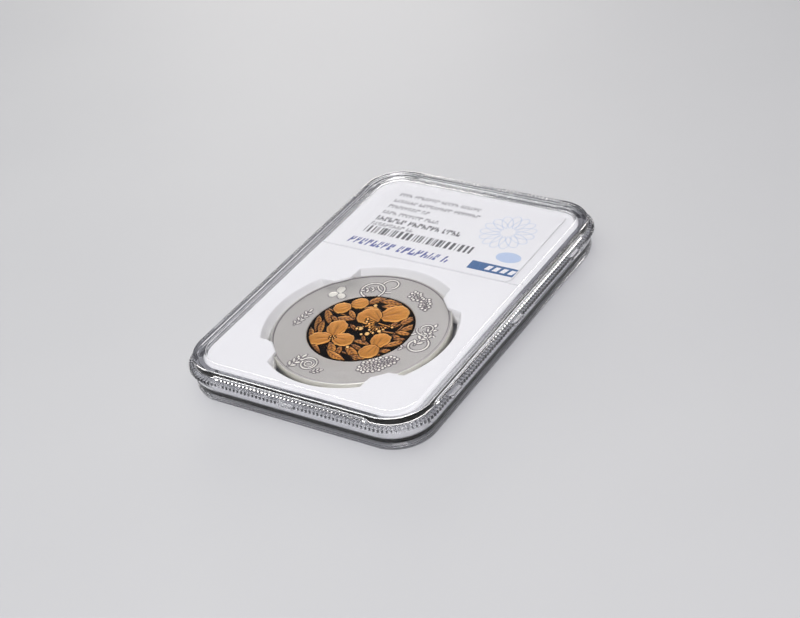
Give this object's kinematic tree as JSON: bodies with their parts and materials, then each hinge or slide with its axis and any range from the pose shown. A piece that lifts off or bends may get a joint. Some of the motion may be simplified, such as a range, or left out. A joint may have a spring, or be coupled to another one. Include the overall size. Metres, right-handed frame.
{
  "type": "graded coin slab",
  "caption": "Sealed clear two-part case with a white four-prong insert, a two-colour commemorative coin and printed label cards.",
  "frame": {"origin": "centre of the case at the plane of the back foot ring that it rests on", "axes": "+Z out of the front window, +Y along the case from the coin end to the label end, +X to the right of the label as it is read"},
  "size_m": [0.0606, 0.0856, 0.008],
  "materials": {
    "clear_plastic": "clear polished",
    "white_plastic": "soft matte",
    "silver": "satin struck silver",
    "gold": "frosted gilt relief on a dark mirror field",
    "label_card": "smooth coated card",
    "foil": "iridescent foil"
  },
  "bodies": {
    "root": {"front_shell": "clear_plastic", "back_shell": "clear_plastic", "coin_insert": "white_plastic", "coin_ring": "silver", "coin_core": "gold", "front_label": "label_card", "back_label": "label_card", "security_foil": "foil"}
  },
  "joints": []
}
